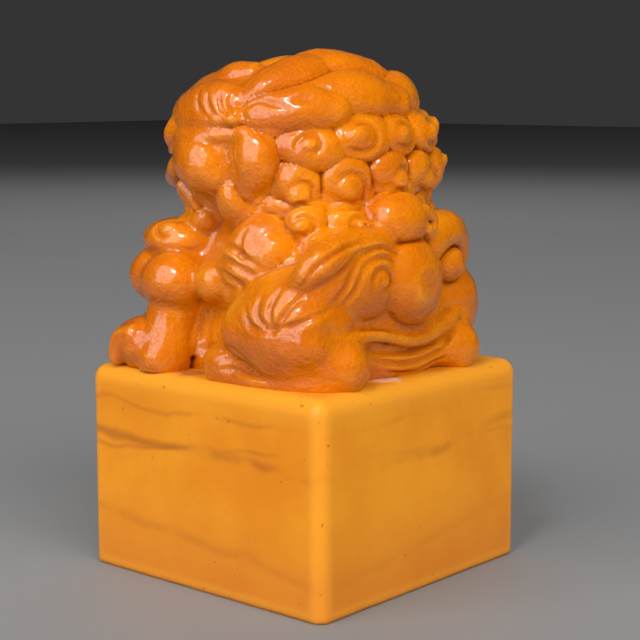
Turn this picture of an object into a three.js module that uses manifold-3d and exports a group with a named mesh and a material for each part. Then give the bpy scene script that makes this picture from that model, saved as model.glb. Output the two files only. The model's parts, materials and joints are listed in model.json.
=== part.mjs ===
// A seal stamp: a square block of honey-coloured stone with a seated guardian lion carved as its knob.
// Millimetres, +Z up. The origin is the middle of the seal face, the lion looks along -Y, its left is +X.
import * as THREE from "three";
import { mergeVertices } from "three/addons/utils/BufferGeometryUtils.js";
import Module from "manifold-3d";

const wasm = await Module();
wasm.setup();

// Block
const SIDE = 30; // the square stone is this wide and deep
const BLOCK_HEIGHT = 20;
const CORNER_RADIUS = 1.3; // the four upright edges
const TOP_ROLL = 1.5; // the polished-over edge round the top
const CORNER_STEPS = 5;
const ROLL_STEPS = 4;

// Carving
const GROOVE = 0.3; // a cut line between two carved masses
const FOOT_INSET = 2.9; // from the side of the block in to the middle of a foot
const SHOULDER_INSET = 5.2; // from the side of the block in to a shoulder
const SHOULDER_DROP = 12; // from the middle of the head down to a shoulder
const HIP_INSET = 5.6;
const HIP_HEIGHT = 6;
const RUMP_INSET = 2.8; // from the back of the block in to the tail
const BELLY_INSET = 5.4;
const THIGH_RADIUS = 5.4;
const LEG_RADIUS = 2.7;
const PAW_RADIUS = 2.7;
const TOE_RADIUS = 1.0;
const TOES = 4;
const TAIL_RADIUS = 2.5; // a strand of the tail at its thickest

// Head, which is an ellipsoid of mane with everything else laid on its surface
const HEAD_HEIGHT = 19.6; // the middle of the head above the block
const HEAD_SHIFT = 0.4; // the head sits this far forward, and as far to the lion's right
const HEAD_TURN = 25; // degrees, to the lion's left
const MANE_LENGTH = 12; // half of the head, nape to nose
const MANE_WIDTH = 10.8; // half of the head, ear to ear
const MANE_HEIGHT = 9.7; // half of the head, chin to crown
const MANE_DEPTH = 1.7; // how far the locks and curls stand out of the skull
const NECK_INSET = 1.2; // how much slimmer than the mane the neck is
const CURL_RADIUS = 3.2; // a snail curl of the mane
const CURL_SINK = -0.6; // a curl's middle lies this far under the mane's surface
const NECK_CURL_DROP = 7.2; // from the middle of the head down to the curl on the side of the neck
const UNDER_CURL_DROP = 5.4; // and down to the two curls that hang under the mane behind it
const EYE_RADIUS = 2.0;
const LOCK_RADIUS = 2.0; // a long lock of the mane at its thickest

const half = SIDE / 2;
const foot = half - FOOT_INSET;
const belly = half - BELLY_INSET;
const back = half - RUMP_INSET;
const shoulderHeight = HEAD_HEIGHT - SHOULDER_DROP;
const at = (x, y, z) => new THREE.Vector3(x, y, z);

// Solids

// A closed skin over rings of points, drawn to a point at each end.
function skin(rings, first, last) {
  const count = rings[0].length;
  const points = [...rings.flat(), first, last];
  const faces = [];
  const corner = (ring, i) => ring * count + (i % count);
  for (let i = 0; i < count; i++) {
    faces.push(corner(0, i + 1), corner(0, i), points.length - 2);
    faces.push(corner(rings.length - 1, i), corner(rings.length - 1, i + 1), points.length - 1);
    for (let ring = 0; ring < rings.length - 1; ring++) {
      faces.push(corner(ring, i), corner(ring, i + 1), corner(ring + 1, i + 1));
      faces.push(corner(ring, i), corner(ring + 1, i + 1), corner(ring + 1, i));
    }
  }
  return new THREE.BufferGeometry().setFromPoints(points).setIndex(faces);
}

function solidOf(geometry) {
  const bare = geometry.clone();
  bare.deleteAttribute("normal");
  bare.deleteAttribute("uv");
  const merged = mergeVertices(bare);
  const vertProperties = new Float32Array(merged.attributes.position.array);
  const triVerts = new Uint32Array(merged.index.array);
  return new wasm.Manifold(new wasm.Mesh({ numProp: 3, vertProperties, triVerts }));
}

function geometryOf(solid) {
  const { vertProperties, triVerts } = solid.getMesh();
  return new THREE.BufferGeometry()
    .setAttribute("position", new THREE.BufferAttribute(new Float32Array(vertProperties), 3))
    .setIndex(new THREE.BufferAttribute(new Uint32Array(triVerts), 1));
}

const join = (solids) => solids.reduce((all, solid) => all.add(solid));

// Carved forms
// Each is a function of how far it is grown on every side, so that a neighbour can be cut clear of it.

// An ellipsoid, with its radii along the axes that the turn gives. A larger one has more sides.
const BALL_SIDES = [[1.5, 6], [2.2, 7], [4, 9], [7, 11], [Infinity, 14]];
const ball = (centre, radii, turn = new THREE.Quaternion()) => (grow) => {
  const largest = Math.max(...radii);
  const around = BALL_SIDES.find(([upTo]) => largest < upTo)[1];
  const place = new THREE.Matrix4().compose(centre, turn, at(...radii.map((radius) => radius + grow)));
  return solidOf(new THREE.SphereGeometry(1, around, Math.round(around * 0.6)).applyMatrix4(place));
};

// A round strand along a smooth curve through the points, with a radius at each point and round ends.
const LIMB = { sides: 7, stepsPerSpan: 2, capSteps: 1 };
const LOCK = { sides: 6, stepsPerSpan: 1, capSteps: 1 };
const strand = (points, radii, { sides, stepsPerSpan, capSteps } = LOCK) => (grow) => {
  const curve = new THREE.CatmullRomCurve3(points);
  const spans = points.length - 1;
  const steps = spans * stepsPerSpan;
  const { tangents, normals, binormals } = curve.computeFrenetFrames(steps, false);
  const radiusAt = (step) => {
    const along = curve.getUtoTmapping(step / steps) * spans;
    const span = Math.min(Math.floor(along), spans - 1);
    return THREE.MathUtils.lerp(radii[span], radii[span + 1], along - span) + grow;
  };
  const ring = (step, radius, shift) =>
    Array.from({ length: sides }, (_, i) => {
      const angle = (2 * Math.PI * i) / sides;
      return curve
        .getPointAt(step / steps)
        .addScaledVector(normals[step], radius * Math.cos(angle))
        .addScaledVector(binormals[step], radius * Math.sin(angle))
        .addScaledVector(tangents[step], shift);
    });
  const cap = (step, sign) =>
    Array.from({ length: capSteps }, (_, i) => {
      const angle = ((i + 1) / (capSteps + 1)) * (Math.PI / 2);
      const radius = radiusAt(step);
      return ring(step, radius * Math.cos(angle), sign * radius * Math.sin(angle));
    });
  const rings = [...cap(0, -1).reverse()];
  for (let step = 0; step <= steps; step++) rings.push(ring(step, radiusAt(step), 0));
  rings.push(...cap(steps, 1));
  const tip = (step, sign) =>
    curve.getPointAt(step / steps).addScaledVector(tangents[step], sign * radiusAt(step));
  return solidOf(skin(rings, tip(0, -1), tip(steps, 1)));
};

// A snail curl lying on a surface: an open ring round a raised bead, closed underneath by a sunken core.
// The heading says where its outer end lies.
const CURL_POINTS = 6;
function curl(centre, normal, radius, heading, hand) {
  const east = at(0, 0, 1).cross(normal).normalize();
  const north = normal.clone().cross(east);
  const turned = (angle, reach, lift) =>
    centre
      .clone()
      .addScaledVector(east, reach * Math.cos(angle))
      .addScaledVector(north, reach * Math.sin(angle))
      .addScaledVector(normal, lift);
  const start = THREE.MathUtils.degToRad(heading);
  const ring = [];
  const radii = [];
  for (let i = 0; i < CURL_POINTS; i++) {
    const share = i / (CURL_POINTS - 1);
    const reach = radius * (0.6 - 0.06 * share);
    ring.push(turned(start + hand * share * 1.7 * Math.PI, reach, radius * (0.25 * share - 0.2)));
    radii.push(radius * (0.42 - 0.06 * share));
  }
  radii[0] *= 0.7;
  const round = (lift, share) => ball(turned(0, 0, radius * lift), Array(3).fill(radius * share));
  return [strand(ring, radii), round(0.22, 0.4), round(-0.45, 0.72)];
}

// Groups
const stamp = new THREE.Group();
const lion = new THREE.Group();
lion.position.z = BLOCK_HEIGHT;
stamp.add(lion);
const head = new THREE.Group();
head.position.set(-HEAD_SHIFT, -HEAD_SHIFT, HEAD_HEIGHT);
// The head's own +X is its nose, +Y its left ear.
head.rotation.z = THREE.MathUtils.degToRad(HEAD_TURN - 90);
head.updateMatrix();
lion.add(head);

const honey = new THREE.MeshStandardMaterial({ color: 0xdb8a2b, roughness: 0.4, metalness: 0 });
const amber = new THREE.MeshStandardMaterial({ color: 0xe07a12, roughness: 0.3, metalness: 0 });

// Places on the head

// A direction from the middle of the head: longitude from the nape towards the left ear, latitude upwards.
function headDirection(longitude, latitude) {
  const lon = THREE.MathUtils.degToRad(longitude);
  const lat = THREE.MathUtils.degToRad(latitude);
  return at(-Math.cos(lat) * Math.cos(lon), Math.cos(lat) * Math.sin(lon), Math.sin(lat));
}

const maneRadii = at(MANE_LENGTH, MANE_WIDTH, MANE_HEIGHT);

function maneNormal(longitude, latitude) {
  return headDirection(longitude, latitude).divide(maneRadii).normalize().applyQuaternion(head.quaternion);
}

// A point on the mane's surface, lifted out of it.
function onMane(longitude, latitude, lift = 0) {
  return headDirection(longitude, latitude)
    .multiply(maneRadii)
    .applyMatrix4(head.matrix)
    .addScaledVector(maneNormal(longitude, latitude), lift);
}

function headBall(longitude, latitude, lift, radii) {
  return ball(onMane(longitude, latitude, lift), radii, head.quaternion);
}

// A place is a longitude, a latitude and, where it differs from the rest of the strand, a lift.
function headStrand(places, radii, lift) {
  const points = places.map(([longitude, latitude, own = lift]) => onMane(longitude, latitude, own));
  return strand(points, radii);
}

function maneCurl(longitude, latitude, heading, hand, share = 1) {
  const centre = onMane(longitude, latitude, CURL_SINK);
  return curl(centre, maneNormal(longitude, latitude), CURL_RADIUS * share, heading, hand);
}

// A curl lower down, on the neck: how far out, back and below the middle of the head it lies.
function neckCurl(s, out, behind, drop, [x, y, z], share, heading, hand) {
  const outward = at(s * x, y, z).normalize();
  return curl(at(s * out, behind, HEAD_HEIGHT - drop), outward, CURL_RADIUS * share, heading, hand);
}

// Pieces: each is cut clear of those before it
const pieces = [];
const piece = (name, group, forms) => pieces.push({ name, group, forms });
const both = (make) => {
  make("left", 1);
  make("right", -1);
};

// Head
const skull = maneRadii.clone().subScalar(MANE_DEPTH);
piece("skull", head, [
  ball(head.position.clone(), skull.toArray(), head.quaternion),
  headBall(180, 36, -3.4, [5.6, 7.2, 5.2]),
]);
piece("muzzle", head, [headBall(180, 0, -2.8, [3.8, 5.6, 4.2])]);
piece("lower_jaw", head, [
  headBall(180, -40, -2.2, [4.2, 4.8, 2.5]),
  headBall(180, -31, 0, [1.8, 2.8, 1.6]),
]);
piece("nose", head, [
  headBall(180, 12, 0.9, [1.7, 1.7, 1.5]),
  headBall(170, 9, 0.5, [1.2, 1.2, 1.1]),
  headBall(190, 9, 0.5, [1.2, 1.2, 1.1]),
]);
piece("upper_lip", head, [
  headStrand(
    [[216, 3], [208, -4], [194, -8], [180, -5], [166, -8], [152, -4], [144, 3]],
    [0.7, 1.1, 1.2, 1.1, 1.2, 1.1, 0.7],
    0.8,
  ),
]);
const lockRadii = (shares) => shares.map((share) => share * LOCK_RADIUS);
both((side, s) => {
  const mirrored = (places) => places.map(([longitude, ...rest]) => [s * longitude, ...rest]);
  const lock = (places, shares, lift) => headStrand(mirrored(places), lockRadii(shares), lift);
  piece(side + "_eye", head, [headBall(s * 154, 15, 0.3, [EYE_RADIUS, EYE_RADIUS, EYE_RADIUS])]);
  piece(side + "_brow", head, [
    lock([[168, 29, 0.2], [150, 33, 0.4], [130, 38, 0.2], [112, 40, -0.4]], [0.85, 1.2, 1.25, 0.7], 0),
    lock([[160, 26], [135, 26], [108, 30]], [0.4, 0.65, 0.4], 0.6),
  ]);
  piece(side + "_cheek", head, [
    lock([[141, 9, 0], [131, -1, 0.2], [122, -11, -0.2]], [1.15, 1.35, 1.15], 0),
    lock([[150, 15, 1.1], [128, 16, 0.7], [105, 19, -0.2]], [0.35, 0.45, 0.3], 0),
  ]);
  piece(side + "_beard", head, [
    lock([[144, -40, -0.5], [142, -46, 1.6], [133, -52, 2.8]], [0.75, 0.7, 0.4], 0),
    lock([[167, -40, -0.2], [166, -45, 1.7], [163, -52, 3]], [0.75, 0.7, 0.4], 0),
  ]);
  piece(side + "_side_lock", head, [lock([[103, 15], [98, 0], [103, -15]], [0.75, 1.15, 0.8], -0.9)]);
  piece(side + "_crown_lock", head, [
    lock([[110, 36], [98, 46], [78, 58], [62, 64]], [0.6, 1.1, 1.1, 0.65], -0.1),
  ]);
  piece(side + "_ear", head, [
    lock([[108, 26], [96, 30], [74, 33], [50, 34]], [0.45, 0.95, 1.1, 0.65], -0.4),
  ]);
  piece(side + "_back_lock", head, [lock([[72, 42], [44, 43], [12, 38]], [0.65, 1.05, 0.85], -0.3)]);
  piece(side + "_forelock", head, [
    lock([[130, 58], [146, 51], [162, 41], [174, 31]], [0.8, 1.05, 0.85, 0.5], 0.1),
  ]);
  piece(side + "_upper_curls", head, [
    lock([[84, 12], [62, 15], [40, 17]], [0.7, 0.7, 0.7], -0.9),
    ...maneCurl(s * 76, 9, s > 0 ? 200 : -20, s, 1.05),
    ...maneCurl(s * 47, 15, s > 0 ? 170 : 10, -s, 1.1),
  ]);
  piece(side + "_lower_curls", head, [
    lock([[88, -12], [70, -11], [48, -10]], [0.7, 0.7, 0.7], -0.9),
    ...maneCurl(s * 80, -14, s > 0 ? 60 : 120, s, 1.05),
    ...maneCurl(s * 57, -11, s > 0 ? 100 : 80, s, 1.08),
  ]);
  const underPlaces = [[113, -17, 0.1], [112, -23, 0], [106, -29], [90, -30], [78, -30]];
  piece(side + "_lower_locks", head, [
    lock(underPlaces, [0.6, 0.8, 0.6, 0.8, 0.7], -0.4),
    ...neckCurl(s, 7.4, 7.4, UNDER_CURL_DROP, [0.62, 0.78, -0.1], 0.85, 90 - s * 70, -s),
    ...neckCurl(s, 3.8, 9.9, UNDER_CURL_DROP, [0.3, 0.95, -0.1], 0.95, 90 + s * 30, s),
  ]);
  const beside = MANE_WIDTH - 2.2;
  const lowest = neckCurl(s, beside, 2.9, NECK_CURL_DROP, [0.8, 0.56, 0.12], 1.3, 90 + s * 40, -s);
  piece(side + "_neck_curl", lion, lowest);
});
piece("nape_upper_curls", head, [
  headStrand([[20, 18], [-4, 18], [-24, 17]], [1.4, 1.4, 1.4], -0.9),
  ...maneCurl(17, 17, 160, -1, 1.15),
  ...maneCurl(-17, 17, 20, 1, 1.1),
]);
piece("nape_lower_curls", head, [
  headStrand([[34, -8], [4, -7], [-26, -8]], [1.4, 1.4, 1.4], -0.9),
  ...maneCurl(29, -8, 60, 1, 1),
  ...maneCurl(2, -7, 80, 1, 1),
  ...maneCurl(-26, -8, 120, -1, 1),
  ...maneCurl(0, -28, 90, -1, 0.9),
]);
piece("crest", head, [
  headStrand([[180, 40], [180, 58], [170, 74], [120, 80]], lockRadii([0.7, 1, 1.1, 0.7]), -0.4),
]);
piece("top_lock", head, [
  headStrand([[84, 68], [48, 67], [14, 58], [-6, 50]], lockRadii([0.65, 1.15, 1, 0.6]), -0.3),
  headStrand([[40, 66], [-50, 72], [-52, 60], [-42, 49]], lockRadii([0.6, 0.8, 1, 0.6]), -0.4),
]);
piece("nape_lock", head, [headStrand([[10, 44], [-8, 42], [-26, 37]], lockRadii([0.7, 1.1, 0.7]), 0)]);

// Body, cut clear of the head
const hipWidth = half - HIP_INSET;
const neck = MANE_WIDTH - NECK_INSET;
piece("trunk", lion, [
  ball(at(0.5, 4, HIP_HEIGHT), [belly, 8.2, 7]),
  ball(at(0, 8, HIP_HEIGHT - 0.5), [hipWidth + 1.4, back - 7.4, 6]),
  ball(at(0, 0.6, shoulderHeight + 4.2), [neck - 0.4, neck + 0.2, 5.2]),
  ball(at(0, 0.5, 2.6), [belly, belly + 1.4, 5.2]),
  ball(at(0, -0.8, 3.2), [belly + 1.6, 5.8, 4.8]),
]);
piece("chest", lion, [ball(at(1, 5 - belly, shoulderHeight + 0.4), [belly - 1.2, 7.2, 8])]);
const thighRadii = [THIGH_RADIUS - 0.6, THIGH_RADIUS + 0.6, THIGH_RADIUS - 0.6];
const hipOf = (s) => at(s * hipWidth, foot - 5.1, HIP_HEIGHT);
both((side, s) => piece(side + "_thigh", lion, [ball(hipOf(s), thighRadii)]));

// A place on the skin of a thigh, back from and above its middle, and how far it is sunk.
function onThigh(s, back, up, sink) {
  const out = Math.sqrt(1 - (back / thighRadii[1]) ** 2 - (up / thighRadii[2]) ** 2);
  return hipOf(s).add(at(s * (thighRadii[0] * out - sink), back, up));
}

// Legs
both((side, s) => {
  const fore = s * foot;
  const shoulder = at(s * (half - SHOULDER_INSET), 4.9 - foot, shoulderHeight);
  const tuft = (x, y, z, radii) => ball(shoulder.clone().add(at(s * x, y, z)), radii);
  piece(side + "_elbow_locks", lion, [
    tuft(0.2, 0.2, 0.8, [3.5, 3.6, 2.8]),
    tuft(-0.6, -3.8, 1, [3, 2.9, 2.7]),
    tuft(-2.2, -1.6, 4.4, [4, 4.4, 2.2]),
    tuft(-0.2, 4.8, 0.9, [2.5, 2.6, 2.2]),
    tuft(-1.4, -1.2, 2.4, [3, 3, 2.4]),
    tuft(-0.2, 9.4, 2.7, [2.6, 3.9, 2.8]),
  ]);

  const paw = ball(at(fore + s * 0.1, 2.3 - foot, 2.1), [PAW_RADIUS, PAW_RADIUS + 0.8, PAW_RADIUS]);
  const toes = [];
  for (let toe = 0; toe < TOES; toe++) {
    const across = fore + (toe / (TOES - 1) - 0.5) * 2 * (PAW_RADIUS - TOE_RADIUS + 0.3);
    const joints = [at(across, 1.8 - foot, 3.5), at(across, 0.2 - foot, 2.8), at(across, -foot - 0.6, 0.9)];
    toes.push(strand(joints, [TOE_RADIUS - 0.1, TOE_RADIUS, TOE_RADIUS - 0.1]));
  }
  piece(side + "_forepaw", lion, [paw, ...toes]);

  const wrist = at(fore, 4.7 - foot, 1);
  const elbow = wrist.clone().lerp(shoulder, 0.5).add(at(s * 0.2, -0.2, 0));
  const legRadii = [LEG_RADIUS, LEG_RADIUS, LEG_RADIUS + 0.4];
  piece(side + "_foreleg", lion, [strand([wrist, elbow, shoulder], legRadii, LIMB)]);

  const flame = (places) => strand(places.map(([y, z]) => onThigh(s, y, z, 0.5)), [0.7, 1.2, 0.8]);
  piece(side + "_haunch_locks", lion, [
    flame([[1.2, -0.4], [-1, 0.8], [-2.2, 2.4]]),
    flame([[1.6, -0.2], [0.6, 1.7], [0.8, 3.3]]),
    flame([[2, -0.2], [2.8, 1.3], [4, 2.7]]),
  ]);
  const knee = at(fore - s * 0.4, foot - 8.4, HIP_HEIGHT - 1.4);
  const shin = at(fore - s * 0.4, foot - 4.2, 2.9);
  const heel = at(fore - s * 3.2, foot + 0.3, 2.2);
  const shinRadii = [LEG_RADIUS, LEG_RADIUS - 0.2, LEG_RADIUS - 0.4];
  piece(side + "_hind_leg", lion, [strand([knee, shin, heel], shinRadii, LIMB)]);

  const sole = [[0.2, -0.6, 0.6], [0.6, -7, 0.6], [0.4, -12.4, 0.6]];
  const instep = [[-0.6, -3.4, 1.2], [-0.2, -6.6, 1.5], [-0.1, -9.6, 1.8], [-0.1, -11.8, 1.4]];
  const onFoot = (places) => places.map(([x, y, z]) => at(fore + s * x, foot + y, z));
  piece(side + "_hind_foot", lion, [
    strand(onFoot(sole), [0.9, 1.1, 1.3]),
    strand(onFoot(instep), [0.8, 1.5, 2, 1.8]),
  ]);
});

// Tail, swept up over the rump in thick strands
const rump = (x, z, out = 0) => at(x, back + out, z);
const tail = (shares) => shares.map((share) => share * TAIL_RADIUS);
piece("tail_stem", lion, [
  ball(rump(0.2, 14.4, -0.8), [3.2, 2.7, 2.7]),
  ball(rump(-0.6, 8.7), [3.7, 2.8, 4.4]),
  strand([rump(-1.2, 15.4, 0.9), rump(-2.9, 14.4, 0.7), rump(-2.3, 13.2, 0.9)], tail([0.26, 0.3, 0.26])),
]);
const leftArch = [
  at(hipWidth + 2.6, back - 2.8, HIP_HEIGHT + 2.9),
  at(hipWidth + 1.8, back - 1, HIP_HEIGHT + 5),
  rump(7.6, 12, -1),
  rump(3.6, 12.2, -0.7),
  rump(0.2, 10.8, -0.8),
];
const leftRidge = [rump(3, 8.4, -0.2), rump(3.4, 10.6, -0.1), rump(5.6, 11, -0.1), rump(6.8, 9.4, -0.2)];
piece("tail_left_scroll", lion, [
  ball(rump(4.9, 9.9, -2.1), [5, 2.3, 3.9]),
  strand(leftArch, tail([0.3, 0.6, 0.76, 0.68, 0.36]), LIMB),
  strand(leftRidge, tail([0.2, 0.26, 0.26, 0.2])),
  ball(rump(4.9, 9.4, 0.3), [1.3, 0.9, 1.3]),
]);
const rightArch = [
  rump(-3.4, 10, -0.8),
  rump(-4.6, 12.2, -0.8),
  rump(-7.2, 13, -1.2),
  rump(-9.4, 11.8, -1.8),
  rump(-9.9, 9.6, -2.2),
  rump(-8.4, 7.8, -1.6),
];
piece("tail_right_scroll", lion, [
  strand(rightArch, tail([0.48, 0.76, 0.84, 0.8, 0.72, 0.48])),
  ball(rump(-7.2, 9.9, -0.4), [1.9, 1.6, 1.8]),
]);
const upperSweep = [
  at(hipWidth + 1.6, back - 1.2, HIP_HEIGHT - 0.8),
  rump(8.2, 4.9, -0.7),
  rump(4.4, 4.5, -0.3),
  rump(0.4, 4.3, -0.2),
  rump(-4, 4.2, -0.3),
  rump(-7.4, 5, -0.8),
  rump(-10.2, 6.4, -1.6),
];
piece("tail_upper_sweep", lion, [strand(upperSweep, tail([0.3, 0.56, 0.64, 0.64, 0.6, 0.48, 0.2]))]);
const lowerSweep = [
  rump(8, 2.6, -0.9),
  rump(4, 2.3, -0.4),
  rump(0, 2, -0.3),
  rump(-4, 2, -0.4),
  rump(-7.4, 3.4, -0.9),
  rump(-9.8, 5.4, -1.6),
];
piece("tail_lower_sweep", lion, [strand(lowerSweep, tail([0.28, 0.44, 0.48, 0.48, 0.36, 0.16]))]);

// The block

function blockOutline(inset, z) {
  const radius = CORNER_RADIUS;
  const reach = half - radius;
  const points = [];
  const corners = [[1, 1], [-1, 1], [-1, -1], [1, -1]];
  for (const [quarter, [x, y]] of corners.entries()) {
    for (let step = 0; step <= CORNER_STEPS; step++) {
      const angle = (quarter + step / CORNER_STEPS) * (Math.PI / 2);
      const corner = at(x * reach + radius * Math.cos(angle), y * reach + radius * Math.sin(angle), z);
      points.push(corner.multiply(at(1 - inset / half, 1 - inset / half, 1)));
    }
  }
  return points;
}

function block() {
  const rings = [blockOutline(0, 0)];
  for (let step = 0; step <= ROLL_STEPS; step++) {
    const angle = (step / ROLL_STEPS) * (Math.PI / 2);
    const inset = TOP_ROLL * (1 - Math.cos(angle));
    rings.push(blockOutline(inset, BLOCK_HEIGHT - TOP_ROLL * (1 - Math.sin(angle))));
  }
  return skin(rings, at(0, 0, 0), at(0, 0, BLOCK_HEIGHT));
}

// Assembly

function addPiece(group, name, geometry, material) {
  const mesh = new THREE.Mesh(geometry, material);
  mesh.name = name;
  group.add(mesh);
}

// The largest body of a cut piece, without the chips that a cut leaves beside it.
function largestBody(solid) {
  return solid.decompose().reduce((best, body) => (body.volume() > best.volume() ? body : best));
}

addPiece(stamp, "seal_block", block(), honey);

// The blank is a square column that stands on the block's top, and nothing is carved outside it.
const column = solidOf(new THREE.BoxGeometry(SIDE, SIDE, 2 * SIDE).translate(0, 0, SIDE));
let taken = null;
for (const { name, group, forms } of pieces) {
  const whole = join(forms.map((form) => form(0))).intersect(column);
  const carved = largestBody(taken ? whole.subtract(taken) : whole);
  const grown = join(forms.map((form) => form(GROOVE)));
  taken = taken ? taken.add(grown) : grown;
  const geometry = geometryOf(carved);
  if (group === head) geometry.applyMatrix4(head.matrix.clone().invert());
  addPiece(group, name, geometry, amber);
}

export default stamp;
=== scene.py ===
"""A seal stamp of honey-orange soapstone: a square block with a seated guardian lion carved as its knob.

The lion is carved in a grid of distances. Each form is a ball, a strand or a bundle of strands; together
they make one skin, and each named mass owns the stone that lies nearest to its own forms. So the masses
are closed pieces that meet face to face in the carved creases. The sizes are in millimetres, and become
metres when a mesh is made. The lion looks along -Y, its left is +X, and its head is turned to its left.
"""

import json
import math

import bpy
import numpy as np
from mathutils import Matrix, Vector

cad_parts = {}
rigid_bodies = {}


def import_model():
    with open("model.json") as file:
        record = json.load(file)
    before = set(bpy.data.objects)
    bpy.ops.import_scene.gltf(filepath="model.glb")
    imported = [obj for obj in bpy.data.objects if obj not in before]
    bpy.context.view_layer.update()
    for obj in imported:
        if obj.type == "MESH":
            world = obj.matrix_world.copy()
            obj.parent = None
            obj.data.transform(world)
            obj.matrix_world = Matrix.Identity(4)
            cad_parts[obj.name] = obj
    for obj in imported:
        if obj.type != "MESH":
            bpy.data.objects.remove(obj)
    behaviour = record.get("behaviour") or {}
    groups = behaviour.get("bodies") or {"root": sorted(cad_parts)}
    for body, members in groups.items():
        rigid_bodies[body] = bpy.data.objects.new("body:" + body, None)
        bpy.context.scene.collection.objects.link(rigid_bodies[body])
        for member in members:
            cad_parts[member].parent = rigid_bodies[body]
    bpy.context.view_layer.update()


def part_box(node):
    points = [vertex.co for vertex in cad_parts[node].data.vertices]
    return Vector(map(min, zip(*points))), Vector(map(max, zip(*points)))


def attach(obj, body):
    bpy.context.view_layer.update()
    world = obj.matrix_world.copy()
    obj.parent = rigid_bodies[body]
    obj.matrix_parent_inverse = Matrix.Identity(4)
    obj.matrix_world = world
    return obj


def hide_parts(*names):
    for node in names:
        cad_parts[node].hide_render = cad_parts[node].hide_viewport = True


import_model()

import openvdb
from mathutils import Vector

MM = 0.001

# Block
block_low, block_high = (np.array(corner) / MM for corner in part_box("seal_block"))
SIDE = block_high[0] - block_low[0]
TOP = block_high[2]  # the lion stands on this plane
CORNER_RADIUS = 1.3  # the four upright edges
TOP_ROLL = 1.5  # the polished-over edge round the top
FOOT_EDGE = 0.15  # the edge round the seal face, nearly sharp

# Carving
LION_STEP = 0.18  # the grid's step
BLOCK_STEP = 0.26
REACH = 1.2  # how far from a form its distances are worked out
FAR = 9.0  # stands for every distance beyond that
WEAR = 0.1  # how softly two masses meet at the bottom of a crease
SEAM = 0.04  # how far neighbours run into each other at the skin...
OVERLAP = 0.08  # ...and deeper down, so that no gap shows
FILL_BALL = 1.4  # a ball of this radius rolls over the carving...
FILL_DEPTH = 0.5  # ...and the gaps are filled up to this depth under it
CREASE_CUT = 1.7  # how strongly a fine line is cut along the bottom of each crease...
LINE_DEPTH = 0.8  # ...and how deep under the ball it may go
CREASE_WIDTH = 0.2  # half the width over which the bend of a crease is worked out
HOLLOW_WIDTH = 0.95  # ...and of a hollow
GROOVE_EDGE = 0.12  # how softly the edge of a groove is worn
CURL_GROOVE = (0.65, 0.24)  # width and depth of the groove of a snail curl
CURL_SPIRAL = (2.1, 1.9)  # half its length and width, in radii of its bead
BEAD_DEPTH = 0.72  # how far its middle lies below the top of its lobe, in its own radii
WOBBLE = ((2.8, 0.09), (1.1, 0.03))  # spacing and height of the hand-made unevenness

# Lion, as in the model of the frame
LEFT_AND_RIGHT = (("left", 1), ("right", -1))
HALF = SIDE / 2
FOOT = HALF - 2.9  # from the middle to a foot
SHOULDER = HALF - 5.2
HIP = HALF - 5.6
HIP_HEIGHT = 6.0
BACK = HALF - 2.8  # from the middle to the tail
BELLY = HALF - 5.4
THIGH = np.array([4.8, 6.0, 4.8])  # half its width, length and height
LEG_RADIUS = 2.7
PAW_RADIUS = 2.7
TOE_RADIUS = 1.0
TOES = 4

# Head
HEAD_HEIGHT = 19.6
HEAD_SHIFT = 0.4
HEAD_TURN = math.radians(25)
MANE = np.array([12.0, 10.8, 9.7])  # half its length, width and height
MANE_FLOOR = 1.5  # how deep the creases go between the locks
NECK_INSET = 1.2
LOBE_DEPTH = 2.0  # how far a lobe of the mane reaches down from its top
LOBE_LIFT = 0.35  # how far its top stands over the mane's surface
EYE_RADIUS = 2.0
SHOULDER_HEIGHT = HEAD_HEIGHT - 12


# Carving tools


def unit(vector):
    vector = np.asarray(vector, float)
    return vector / np.linalg.norm(vector)


class Form:
    """Parts that each have a box and a function from points to the distance from the part's skin."""

    def __init__(self, parts):
        self.parts = parts
        self.low = np.min([low for low, _, _ in parts], axis=0)
        self.high = np.max([high for _, high, _ in parts], axis=0)


def ball(centre, radii, axes=np.eye(3)):
    """An ellipsoid, with its radii along the rows of axes."""
    centre = np.asarray(centre, float)
    radii = np.asarray(radii, float) * np.ones(3)
    extent = np.sqrt(((axes * radii[:, None]) ** 2).sum(0))

    def distance(points):
        local = (points - centre) @ axes.T
        near = np.sqrt(((local / radii) ** 2).sum(-1))
        slope = np.sqrt(((local / radii**2) ** 2).sum(-1))
        return near * (near - 1) / np.maximum(slope, 1e-6)

    return Form([(centre - extent, centre + extent, distance)])


def link(start, end, thick, thin, flat, squeeze):
    """One straight piece of a strand, from one girth to the next."""
    first, last = start @ squeeze, end @ squeeze
    along = last - first
    length = max(along @ along, 1e-9)

    def distance(points):
        local = points @ squeeze - first
        share = np.clip(local @ along / length, 0, 1)
        gap = local - share[..., None] * along
        return (np.sqrt((gap**2).sum(-1)) - thick - (thin - thick) * share) * flat

    girth = max(thick, thin)
    return np.minimum(start, end) - girth, np.maximum(start, end) + girth, distance


def tubes(starts, ends, thick, thin, flat=1.0, face=(0, 0, 1)):
    """Round links end to end, pressed flat to a share of their depth along face."""
    face = unit(face)
    squeeze = np.eye(3) + np.outer(face, face) * (1 / flat - 1)
    return Form([link(a, b, r, q, flat, squeeze) for a, b, r, q in zip(starts, ends, thick, thin)])


def smooth_path(points, radii, per_span=7):
    """Points and radii along a smooth curve through the given ones."""
    rows = np.column_stack([np.asarray(points, float), np.asarray(radii, float)])
    rows = np.vstack([2 * rows[0] - rows[1], rows, 2 * rows[-1] - rows[-2]])
    t = np.linspace(0, 1, per_span, endpoint=False)[:, None]
    spans = [
        0.5 * (2 * b + (c - a) * t + (2 * a - 5 * b + 4 * c - d) * t**2 + (3 * b - a - 3 * c + d) * t**3)
        for a, b, c, d in zip(rows, rows[1:], rows[2:], rows[3:])
    ]
    path = np.vstack([*spans, rows[-2:-1]])
    return path[:, :3], np.maximum(path[:, 3], 0.02)


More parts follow.
